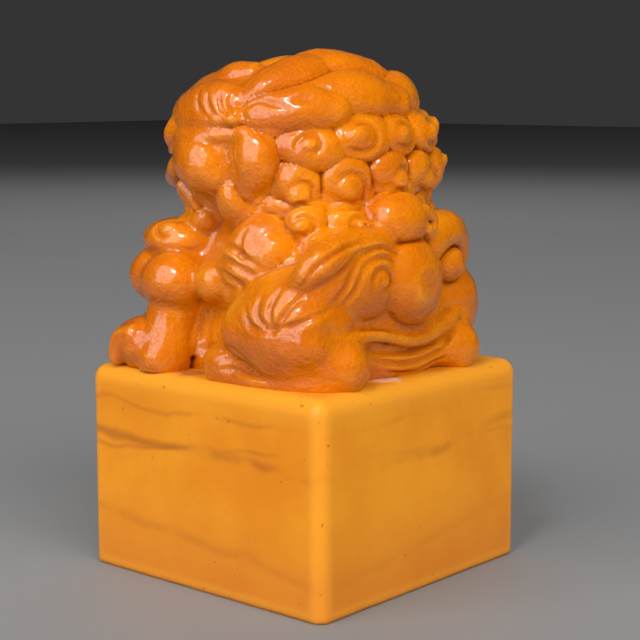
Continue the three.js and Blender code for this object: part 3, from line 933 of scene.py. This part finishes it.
def carve_nose():
    """The nose with its nostrils, the upper lip and the teeth."""
    lion.add("nose", head_ball(180, 12, 0.9, [1.7, 1.9, 1.4]), 0.4)
    lion.add("nose", head_ball(180, 22, 0.2, [1.2, 1.1, 2.0]), 0.5)
    for side in (1, -1):
        lion.add("nose", head_ball(180 - side * 10, 9, 0.6, [1.2, 1.25, 1.05]), 0.3)
        lion.cut(head_ball(180 - side * 8.5, 7.5, 1.7, [0.6, 0.42, 0.4]), 0.15)
    lips = [(216, 3), (208, -4), (194, -8), (180, -5), (166, -8), (152, -4), (144, 3)]
    lion.add("upper_lip", head_strand(lips, [0.6, 1.0, 1.1, 1.0, 1.1, 1.0, 0.6], 0.8), 0.2)
    for tooth in range(-3, 4):
        latitude, length = (-15, 1.1) if abs(tooth) == 3 else (-13.5, 0.7)
        lion.add("muzzle", head_ball(180 + tooth * 5.6, latitude, 0.1, [0.6, 0.5, length]), 0.05)


def carve_face(name, side):
    """The eye, brow, cheek and beard of one side."""
    eye = name + "_eye"
    lion.add(eye, head_ball(side * 154, 15, 0.3, [EYE_RADIUS] * 3), 0.25)
    for lid, girth in (([(169, 16), (162, 24), (150, 25), (140, 16)], 0.42),
                       ([(169, 13), (161, 6), (150, 6), (140, 14)], 0.36)):
        lion.add(eye, head_strand(mirrored(lid, side), [0.2, girth, girth, 0.2], 1.1), 0.2)
    lion.cut(head_ball(side * 156, 15.5, 2.45, [0.6, 0.6, 0.6]), 0.15)

    brow = name + "_brow"
    body = [(167, 25, 0.3), (149, 28, 0.2), (128, 32, -0.2), (110, 35, -0.8)]
    lion.add(brow, head_strand(mirrored(body, side), [1.7, 2.5, 2.9, 1.8], flat=0.8), 0.3)
    lion.add(brow, head_strand(mirrored([(158, 22), (135, 22), (110, 24)], side), [0.8, 1.2, 0.8], 0.6), 0.5)
    for lon in (131, 124, 117, 111):
        hair = [(lon + 2, 34, 1.6), (lon, 30, 2.3), (lon - 4, 25, 2.3), (lon - 10, 22, 1.2)]
        gouge(mane_points(mirrored(hair, side), 0), 0.6, 0.18)

    cheek = name + "_cheek"
    egg = [(138, 6, 0.2), (129, 0, 0.4), (121, -6, 0.0)]
    lion.add(cheek, head_strand(mirrored(egg, side), [2.1, 2.5, 1.9], flat=0.75), 0.2)
    bone = mirrored([(150, 14, 1.1), (128, 14, 0.6), (105, 17, -0.2)], side)
    lion.add(cheek, head_strand(bone, [0.7, 0.9, 0.6]), 0.5)

    beard = name + "_beard"
    for places in ([(144, -40, -0.5), (142, -46, 1.6), (133, -52, 2.8)],
                   [(167, -40, -0.2), (166, -45, 1.7), (163, -52, 3.0)]):
        comb(beard, mirrored(places, side), [0.8, 0.75, 0.35], [1.3, 1.2, 0.4], 2)
    lion.add(beard, head_ball(side * 142, -33, 0.3, [1.5, 1.4, 1.4]), 0.15)
    jaw = mirrored([(150, -14, 0.8), (146, -24, 0.4), (150, -33, 0.2)], side)
    comb(beard, jaw, [0.45, 0.5, 0.4], [1.2, 1.6, 1.2], 3)


def carve_mane_side(name, side):
    """The locks and curls of the mane on one side."""
    def lock(piece, places, radii, lift):
        lion.add(name + piece, head_strand(mirrored(places, side), radii, lift, 0.75))

    def curl(piece, *shape):
        mane_curl(name + piece, side * shape[0], *shape[1:])

    lock("_side_lock", [(103, 14), (98, 1), (102, -12)], [1.5, 2.15, 1.5], -0.5)
    lock("_crown_lock", [(110, 36), (98, 46), (80, 57), (66, 62)], [1.3, 2.3, 2.4, 1.7], -0.1)
    lock("_ear", [(108, 26), (96, 30), (78, 33), (62, 33)], [0.9, 2.0, 2.4, 2.0], -0.3)
    hollow = mirrored([(84, 31, 2.0), (75, 32, 2.2), (68, 34, 2.1)], side)
    lion.cut(head_strand(hollow, [0.3, 0.8, 0.4]), 0.5)
    wave = [(106, 27), (98, 32), (90, 30), (82, 27)]
    gouge(mane_points(mirrored(wave, side), 1.5), 0.7, 0.22)
    lock("_back_lock", [(72, 42), (44, 43), (14, 38)], [1.5, 2.4, 1.9], -0.2)
    lock("_forelock", [(130, 58), (146, 51), (162, 41), (174, 31)], [1.6, 2.1, 1.7, 1.0], -0.1)
    curl("_upper_curls", 72, 10, 3.5, 2.5, 172, (0.2, -0.1, 0.7), 1, 200)
    curl("_upper_curls", 45, 16, 3.5, 2.6, 4, (-0.9, 0.1, 1.15), -1, 200)
    curl("_lower_curls", 80, -11, 2.7, 2.5, 10, (0.2, -1.1, 1.2), -1, 200)
    curl("_lower_curls", 55, -10, 2.8, 2.8, 130, (-0.3, 0.5, 1.25), -1, 230)
    lock("_lower_locks", [(113, -17), (112, -23), (106, -29)], [1.4, 1.8, 1.3], 0.1)
    lock("_lower_locks", [(90, -26), (78, -30), (64, -30)], [1.2, 1.7, 1.2], -0.5)
    for out, back, up, normal, hand in ((8.4, 8.1, 14.2, (0.62, 0.78, -0.1), 1),
                                        (5.2, 10.4, 14.1, (0.3, 0.95, -0.1), -1)):
        bead = (-0.9 * side * hand, -0.1, 0.75)
        put_curl(name + "_lower_locks", at(side * out, back, up), unit([side * normal[0], *normal[1:]]),
                 2.3, 1.9, 0, bead, side * hand, 90 + side * 70 * hand, 0.3)
    outward = unit([side * 0.80, 0.56, 0.12])
    top = at(side * 11.1, 4.6, 12.2)
    put_curl(name + "_neck_curl", top, outward, 3.9, 3.2, 90 - side * 70, (side * 0.9, -0.5, 1.8), -side,
             90 + side * 50)


def carve_nape():
    """The curls of the nape, and the crest and locks along the top of the head."""
    for lon, lift in ((22, 0.5), (0, 1.3), (-22, 1.5)):
        mane_curl("nape_upper_curls", lon, 17, 2.9, 2.4, 0, (-0.3, -0.2, 1.0), -1, 200, lift)
    for lon, lift in ((31, 0.4), (7, 0.8), (-15, 1.6), (-36, 1.5)):
        mane_curl("nape_lower_curls", lon, -4, 2.7, 2.4, 0, (0.5, -0.8, 1.05), -1, 200, lift)
    for lon, lift in ((24, 0.4), (0, 0.8), (-24, 1.2)):
        mane_curl("nape_lower_curls", lon, -26, 2.4, 2.0, 0, (0.2, -0.3, 0.85), 1, 0, lift)
    crest = [(180, 40), (180, 58), (170, 76), (60, 80)]
    lion.add("crest", head_strand(crest, [1.3, 1.7, 1.9, 1.7], -1.0, 0.8))
    over = [(84, 68), (48, 67), (14, 58), (-10, 50)]
    lion.add("top_lock", head_strand(over, [1.5, 2.4, 2.2, 1.3], -0.3, 0.8))
    lion.add("top_lock", head_strand([(-50, 72), (-52, 60), (-42, 49)], [1.6, 2.2, 1.4], -0.4, 0.8))
    lion.add("nape_lock", head_strand([(10, 44), (-8, 42), (-26, 37)], [1.5, 2.3, 1.5], -0.2, 0.85))


def carve_body():
    """The trunk, the chest and the thighs."""
    neck = MANE[1] - NECK_INSET
    for place, radii, blend in (
        ((0.5, 4, HIP_HEIGHT), [BELLY, 8.2, 7], WEAR),
        ((0, 8, HIP_HEIGHT - 0.5), [HIP + 1.4, BACK - 7.4, 6.4], 1.5),
        ((0, 0.6, SHOULDER_HEIGHT + 4.2), [neck - 0.4, neck + 0.2, 5.2], 1.5),
        ((1.4, 2.4, 10), [BELLY, BELLY, 5], 1.5),
        ((0, 0.5, 2.6), [BELLY, BELLY + 1.4, 5.2], 1.0),
        ((0, -0.8, 3.2), [BELLY + 1.6, 5.8, 4.8], 1.0),
        ((7.8, -5.0, 0.4), [2.8, 4.2, 2.6], 0.8),
        ((-7.8, -5.0, 0.4), [2.8, 4.2, 2.6], 0.8),
    ):
        lion.add("trunk", ball(at(*place), radii), blend)
    lion.add("chest", ball(at(1, 5 - BELLY, SHOULDER_HEIGHT + 0.4), [BELLY - 1.2, 7.2, 8]), 1.2)
    for name, side in LEFT_AND_RIGHT:
        hip = at(side * HIP, FOOT - 5.1, HIP_HEIGHT)
        lion.add(name + "_thigh", ball(hip, THIGH), 0.9)


def carve_foreleg(name, side):
    """The leg, the hair at its elbow, and the paw."""
    fore = side * FOOT
    shoulder = at(side * SHOULDER, 4.9 - FOOT, SHOULDER_HEIGHT)
    wrist = at(fore, 4.7 - FOOT, 1)
    elbow = (wrist + shoulder) / 2 + [side * 0.2, -0.2, 0]
    leg = strand([wrist, elbow, shoulder], [LEG_RADIUS, LEG_RADIUS - 0.3, LEG_RADIUS + 0.4])
    lion.add(name + "_foreleg", leg, 0.3)
    locks = name + "_elbow_locks"
    for x, y, z, radii in ((1.0, 0.2, 0.7, [3.4, 3.6, 2.8]), (-0.6, -3.8, 1, [3, 2.9, 2.7]),
                           (-2.2, -1.6, 4.4, [4, 4.4, 2.2]), (-0.2, 4.8, 0.9, [2.5, 2.6, 2.2])):
        lion.add(locks, ball(shoulder + [side * x, y, z], radii), 0.6)
    lion.add(locks, ball(at(side * 9.6, 2.2, 10.3), [2.6, 3.9, 2.8]), 0.6)
    outward = unit([side * 0.75, 0.1, 0.65])
    bead = (0.6 * side, 0.1, 0.8)
    put_curl(locks, at(side * 11.0, -8.6, 13.3), outward, 2.4, 1.7, 0, bead, -side, 90 - side * 60, 0.6)
    for points in (((11.2, 0.0, 12.6), (12.0, 2.6, 11.6), (12.0, 5.6, 10.2)),
                   ((11.9, -0.2, 11.3), (12.2, 2.4, 10.5), (12.0, 5.0, 9.3)),
                   ((11.8, -0.2, 9.9), (12.0, 1.6, 9.1), (11.8, 3.8, 8.0))):
        gouge([at(side * x, y, z) for x, y, z in points], 1.0, 0.35)

    paw = name + "_forepaw"
    palm = at(fore + side * 0.1, 2.3 - FOOT, 2.1)
    lion.add(paw, ball(palm, [PAW_RADIUS, PAW_RADIUS + 0.8, PAW_RADIUS]), 0.3)
    for toe in range(TOES):
        across = fore + (toe / (TOES - 1) - 0.5) * 2 * (PAW_RADIUS - TOE_RADIUS + 0.3)
        behind = 0.3 * (toe - (TOES - 1) / 2) ** 2 - FOOT
        joints = [at(across, behind + y, z) for y, z in ((1.8, 3.3), (0.2, 2.7), (-0.5, 0.9))]
        lion.add(paw, strand(joints, [TOE_RADIUS - 0.1, TOE_RADIUS, TOE_RADIUS - 0.1]), 0.5)


def carve_hind_leg(name, side):
    """The leg, the foot, and the hair of the haunch.

    The right leg is tucked in, and the hair of its haunch lies further forwards."""
    tuck, shift = (0, 0) if side > 0 else (1.0, -1.8)

    def along_foot(*places):
        return [at(side * (FOOT + x) + tuck, FOOT + y, z) for x, y, z in places]

    leg = along_foot((-0.4, -8.4, HIP_HEIGHT - 1.4), (-0.5, -4.2, 2.7), (-3.2, 0.2, 1.8))
    radii = [LEG_RADIUS, LEG_RADIUS - 0.1, LEG_RADIUS - 0.3]
    lion.add(name + "_hind_leg", strand(leg, radii), 1.8)

    foot = name + "_hind_foot"
    sole = along_foot((-3.4, 0.6, 0.5), (-1.2, -0.8, 0.5), (0.5, -5, 0.5), (0.4, -11.4, 0.5))
    lion.add(foot, strand(sole, [1.2, 1.3, 1.1, 1.3]), 0.5)
    instep = along_foot((-0.6, -3.4, 1.2), (-0.2, -6.6, 1.5), (-0.1, -9.6, 1.8), (-0.1, -11.8, 1.4))
    lion.add(foot, strand(instep, [0.8, 1.5, 1.8, 1.5]), 0.5)
    lion.add(foot, ball(*along_foot((0, -11.0, 1.3)), [2.2, 2.6, 2.2]), 0.5)
    for top in (3.3, 2.3, 1.4):
        hair = ((2.2, -10.6, top - 0.2), (2.0, -8.6, top), (1.7, -6.4, top * 0.75), (1.3, -3.8, top * 0.4))
        gouge(along_foot(*hair), 0.6, 0.2)

    locks = name + "_haunch_locks"
    middle = on_thigh(side, 7.8 + shift, 7.2) - [side * 2.1, 0, 0.9]
    lion.add(locks, ball(middle, [2.4, 4.4 + shift / 2, 2.3]), 0.9)
    middle = on_thigh(side, 8.8 + shift, 4.8) - [side * 1.4, 0, 0.8]
    lion.add(name + "_thigh", ball(middle, [1.9, 3.6, 1.9]), 1.6)
    root = (8.9, 5.4)
    for bend, tip in (((6.3, 5.6), (5.2, 7.2)), ((7.0, 6.6), (6.8, 8.4)), ((8.3, 7.3), (8.6, 8.9)),
                      ((9.8, 7.0), (10.6, 8.4)), ((10.4, 6.0), (12.2, 7.1))):
        gouge([on_thigh(side, *place) for place in (root, bend, tip)], 0.85, 0.3)


def on_thigh(side, y, z):
    """A place on the haunch, at a distance back and up."""
    back, up = (y - FOOT + 5.1) / THIGH[1], (z - HIP_HEIGHT) / THIGH[2]
    out = THIGH[0] * math.sqrt(max(0.0, 1 - back**2 - up**2))
    return at(side * (HIP + out), y, z)


def rump(x, z, out):
    """A place on the rump: across, up, and out from the plane of the tail."""
    return at(x, BACK + out, z)


def tail(name, points, radii, blend=0.2):
    lion.add(name, strand(points, radii), blend)


def carve_tail():
    """The stem and its two scrolls."""
    stem = "tail_stem"
    lion.add(stem, ball(rump(0.2, 14.4, -0.8), [3.2, 2.7, 2.7]), 0.3)
    hook = [rump(-1.2, 15.4, 1.0), rump(-2.9, 14.4, 0.8), rump(-2.3, 13.2, 1.0), rump(-1.4, 13.7, 1.4)]
    tail(stem, hook, [0.6, 0.7, 0.6, 0.5])
    lion.add(stem, ball(rump(-0.1, 8.8, 0.1), [4.1, 2.9, 4.2]), 0.2)

    scroll = "tail_left_scroll"
    lion.add(scroll, ball(rump(5.2, 9.4, -0.9), [5.6, 2.5, 4.2]), 0.5)
    lion.add(scroll, ball(rump(8.8, 8.8, -1.9), [3.4, 2.6, 3.6]), 0.8)
    arch = [at(12.0, 9.4, 8.9), at(11.2, 11.2, 11.0), rump(7.6, 12.0, -1.2), rump(3.6, 12.2, -0.9),
            rump(0.8, 10.8, -1.1)]
    tail(scroll, arch, [0.5, 1.5, 1.9, 1.7, 0.9], 0.8)
    lines = [[(12.7, 10.4, 9.2), (12.0, 12.2, 11.4), (8.4, BACK + 0.5, 12.9), (5.4, BACK + 0.5, 13.0)],
             [(12.2, 11.8, 9.0), (9.8, BACK + 0.5, 10.6), (7.6, BACK + 0.5, 12.0), (4.6, BACK + 0.5, 12.2)]]
    for reach in (3.2, 2.3):
        bend = [(5.0 - 1.25 * reach * math.cos(t), BACK + 1, 9.2 + reach * math.sin(t))
                for t in map(math.radians, (45, 75, 105, 140))]
        lines.append([*bend, (5.6 + 1.3 * reach, BACK + 0.6, 8.6), (7.4 + 1.3 * reach, BACK - 0.6, 6.6)])
    for line in lines:
        gouge([at(*place) for place in line], 0.65, 0.24)
    outward = unit([0.1, 1, 0.1])
    put_curl(scroll, at(4.9, BACK + 1.5, 9.3), outward, 1.6, 1.4, 0, (0, 0, 0.75), 1, 200)

    scroll = "tail_right_scroll"
    outer = [rump(-3.4, 10.0, -0.8), rump(-4.6, 12.2, -0.8), rump(-7.2, 13.0, -1.2), rump(-9.4, 11.8, -1.8),
             rump(-9.9, 9.6, -2.2), rump(-8.4, 7.8, -1.6)]
    tail(scroll, outer, [1.2, 1.9, 2.1, 2.0, 1.8, 1.2])
    lion.add(scroll, ball(rump(-7.2, 9.9, -0.4), [1.9, 1.6, 1.8]), 0.1)


def carve_sweeps():
    """The two hanks of hair that sweep across under the scrolls."""
    body = [at(10.8, 10.8, 5.0), rump(8.2, 4.5, -1.2), rump(4.4, 4.2, -1.0), rump(0.2, 3.5, -0.9),
            rump(-3.8, 3.5, -0.9), rump(-7.2, 4.6, -1.2), rump(-9.6, 5.8, -1.7)]
    tail("tail_upper_sweep", body, [0.9, 1.1, 1.4, 1.5, 1.4, 1.0, 0.5], 0.9)
    crest = [at(11.6, 11.4, 4.9), rump(9.0, 4.6, 0.3), rump(4.8, 4.3, 0.6), rump(2.2, 3.7, 0.6),
             rump(-0.6, 3.2, 0.6), rump(-3.4, 3.5, 0.5), rump(-5.6, 4.3, 0.3), rump(-7.8, 5.2, 0.0),
             rump(-9.9, 6.1, -0.5)]
    tail("tail_upper_sweep", crest, [0.3, 0.5, 0.6, 0.6, 0.6, 0.6, 0.55, 0.5, 0.3], 0.3)
    lower = [rump(8.0, 2.6, -0.9), rump(4.0, 2.0, -0.6), rump(0.0, 1.3, -0.5), rump(-3.6, 1.4, -0.6),
             rump(-6.8, 2.6, -1.0), rump(-9.4, 4.4, -1.8)]
    tail("tail_lower_sweep", lower, [0.7, 1.2, 1.3, 1.2, 0.9, 0.4], 0.3)
    lion.add("tail_lower_sweep", ball(rump(-0.4, 2.0, -1.9), [9.4, 2.5, 2.8]), 0.6)
    for drop, start, end, width in ((1.0, 7.2, -8.4, 0.7), (1.9, 5.4, -7.4, 0.7), (2.8, 3.6, -6.2, 0.6)):
        path = [rump(x, 3.2 + 0.022 * (x + 0.6) ** 2 - drop + 0.004 * drop * x**2, 0.8 - 0.2 * drop)
                for x in np.linspace(start, end, 7)]
        gouge(path, width, 0.26)


def carve_lion():
    carve_body()
    carve_skull()
    carve_nape()
    for name, side in LEFT_AND_RIGHT:
        carve_mane_side(name, side)
        carve_face(name, side)
    carve_nose()
    carve_tail()
    carve_sweeps()
    for name, side in LEFT_AND_RIGHT:
        carve_foreleg(name, side)
        carve_hind_leg(name, side)
    lines = lion.crease_lines()
    hull = lion.rolled_over(FILL_BALL)
    lion.skin = smooth_min(lion.skin, hull + FILL_DEPTH, blend=0.12) + lines * CREASE_CUT
    cut_grooves()
    lion.skin = smooth_min(lion.skin, hull + LINE_DEPTH, blend=0.1)
    hold_inside(HALF - 0.02)
    lion.skin += wobble(lion.shape, lion.step, seed=11)


def hold_inside(half):
    """Nothing is carved outside the blank, whose sides are those of the block."""
    x, y = (lion.low[i] + lion.step * np.arange(lion.shape[i]) for i in range(2))
    outside = np.maximum(np.abs(x)[:, None], np.abs(y)[None, :]) - half
    np.maximum(lion.skin, outside[:, :, None].astype(np.float32), out=lion.skin)


# Pieces


def finish_piece(name, mesh, material, node):
    mesh.materials.append(material)
    obj = new_object(name, mesh)
    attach(obj, "root")
    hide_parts(node)


def owned_window(name, index, owner):
    """The window of the stone that a mass owns, and the mass's field in it."""
    margin = 3
    window, field = lion.mass(name)
    held = (owner[window] == index) & (lion.skin[window] < 0)
    filled = [np.flatnonzero(held.any(axis=tuple({0, 1, 2} - {axis}))) for axis in range(3)]
    inner = tuple(slice(max(cells[0] - margin, 0), cells[-1] + margin + 1) for cells in filled)
    window = tuple(slice(w.start + i.start, min(w.start + i.stop, w.stop)) for w, i in zip(window, inner))
    return window, field[inner]


def make_lion(material):
    """Makes a closed piece of each mass: its skin, its walls towards the neighbours, and its floor."""
    carve_lion()
    marks = {"crease": lion.bend(CREASE_WIDTH), "hollow": lion.bend(HOLLOW_WIDTH)}
    nearest, second, owner = lion.share_out()
    for index, name in enumerate(lion.masses):
        window, own = owned_window(name, index, owner)
        low = lion.low + np.array([w.start for w in window]) * lion.step
        skin = lion.skin[window]
        others = np.where(owner[window] == index, second[window], nearest[window])
        overlap = np.clip(SEAM - skin * 0.3, SEAM, OVERLAP)
        wall = blurred(np.clip((own - others) / 2, -2, 2), half=1, passes=2) - overlap
        z = low[2] + lion.step * np.arange(own.shape[2])
        floor = np.broadcast_to((TOP - z).astype(np.float32), own.shape)
        attributes = {label: field[window] for label, field in marks.items()}
        mesh = mesh_of("carved_" + name, [skin, wall, floor], lion.step, low, attributes)
        finish_piece("carved_" + name, mesh, material, name)


def rounded_block(points):
    """Distance from the block, with its upright edges, its rolled top edge and its nearly sharp foot."""
    x, y, z = np.abs(points[..., 0]), np.abs(points[..., 1]), points[..., 2]
    inner = HALF - CORNER_RADIUS
    corner = np.sqrt(np.maximum(x - inner, 0) ** 2 + np.maximum(y - inner, 0) ** 2)
    plan = corner + np.minimum(np.maximum(x, y) - inner, 0) - CORNER_RADIUS
    upper, lower = z - TOP, -z
    rolled = [
        np.sqrt(np.maximum(plan + r, 0) ** 2 + np.maximum(rise + r, 0) ** 2)
        + np.minimum(np.maximum(plan, rise) + r, 0) - r
        for rise, r in ((upper, TOP_ROLL), (lower, FOOT_EDGE))
    ]
    return np.maximum(*rolled)


def make_block(material):
    stone = Stone((-HALF - 1, -HALF - 1, -1), (HALF + 1, HALF + 1, TOP + 1), BLOCK_STEP)
    points = stone.points(tuple(slice(0, n) for n in stone.shape))
    stone.skin = rounded_block(points).astype(np.float32)
    stone.skin += np.maximum(wobble(stone.shape, stone.step, seed=5) * 0.25, 0)  # shallow dips alone
    seal_face = np.broadcast_to(-points[..., 2], stone.shape)
    attributes = {"crease": stone.bend(0.4, reach=1.5)}
    mesh = mesh_of("seal_block_stone", [stone.skin, seal_face], stone.step, stone.low, attributes)
    finish_piece("seal_block_stone", mesh, material, "seal_block")


# Stage


def table_material(colour):
    """A plain, faintly cloudy surface."""
    material = Material("grey table", Roughness=0.6)
    paler = tuple(channel * 1.04 for channel in colour)
    material.give("Base Color", material.mix(material.noise(30, 2, 0.5), colour, paler))
    return material.data


def make_stage():
    """A wide grey table, and a dim room round it."""
    reach = 1.5
    corners = [(-reach, -reach, 0), (reach, -reach, 0), (reach, reach, 0), (-reach, reach, 0)]
    mesh = bpy.data.meshes.new("floor")
    mesh.from_pydata(corners, [], [(0, 1, 2, 3)])
    mesh.materials.append(table_material((0.24, 0.24, 0.24)))
    new_object("floor", mesh)
    world = bpy.data.worlds.new("room")
    bpy.context.scene.world = world
    world.use_nodes = True
    background = world.node_tree.nodes["Background"]
    background.inputs["Color"].default_value = (0.86, 0.86, 0.86, 1)
    background.inputs["Strength"].default_value = 0.04


def lamp(name, azimuth, elevation, distance, size, power, shines=True):
    """A soft lamp that faces the lion, and shines in the wax or only lights the stone.

    Azimuth 0 stands on -Y, and 90 on +X."""
    data = bpy.data.lights.new(name, "AREA")
    data.shape = "RECTANGLE"
    data.size, data.size_y = size
    data.energy = power
    obj = new_object(name, data)
    a, e = math.radians(azimuth), math.radians(elevation)
    aim = Vector((0, 0, 0.03))
    away = Vector((math.sin(a) * math.cos(e), -math.cos(a) * math.cos(e), math.sin(e)))
    obj.location = aim + away * distance
    obj.rotation_euler = away.to_track_quat("Z", "Y").to_euler()
    obj.visible_glossy = shines


def make_camera():
    """The photograph's camera, fitted to the corners of the block."""
    data = bpy.data.cameras.new("camera")
    data.sensor_width = 36
    data.lens = 88.565
    data.clip_start = 0.01
    obj = new_object("camera", data)
    obj.location = (0.114527, 0.101376, 0.046722)
    yaw, pitch = math.radians(-138.995), math.radians(-8.451)
    look = Vector((math.cos(yaw) * math.cos(pitch), math.sin(yaw) * math.cos(pitch), math.sin(pitch)))
    obj.rotation_euler = look.to_track_quat("-Z", "Y").to_euler()
    bpy.context.scene.camera = obj


make_lion(carved_stone())
make_block(block_stone())
make_stage()
lamp("left softbox", 84, 32, 0.5, (0.46, 0.54), 2.2)
lamp("high bulb", 108, 52, 0.5, (0.07, 0.11), 0.5)
lamp("right softbox", 160, 30, 0.6, (0.5, 0.5), 3.7, shines=False)
lamp("back", -50, 40, 0.6, (0.5, 0.5), 1.1, shines=False)
make_camera()
bpy.context.scene.view_settings.view_transform = "Standard"
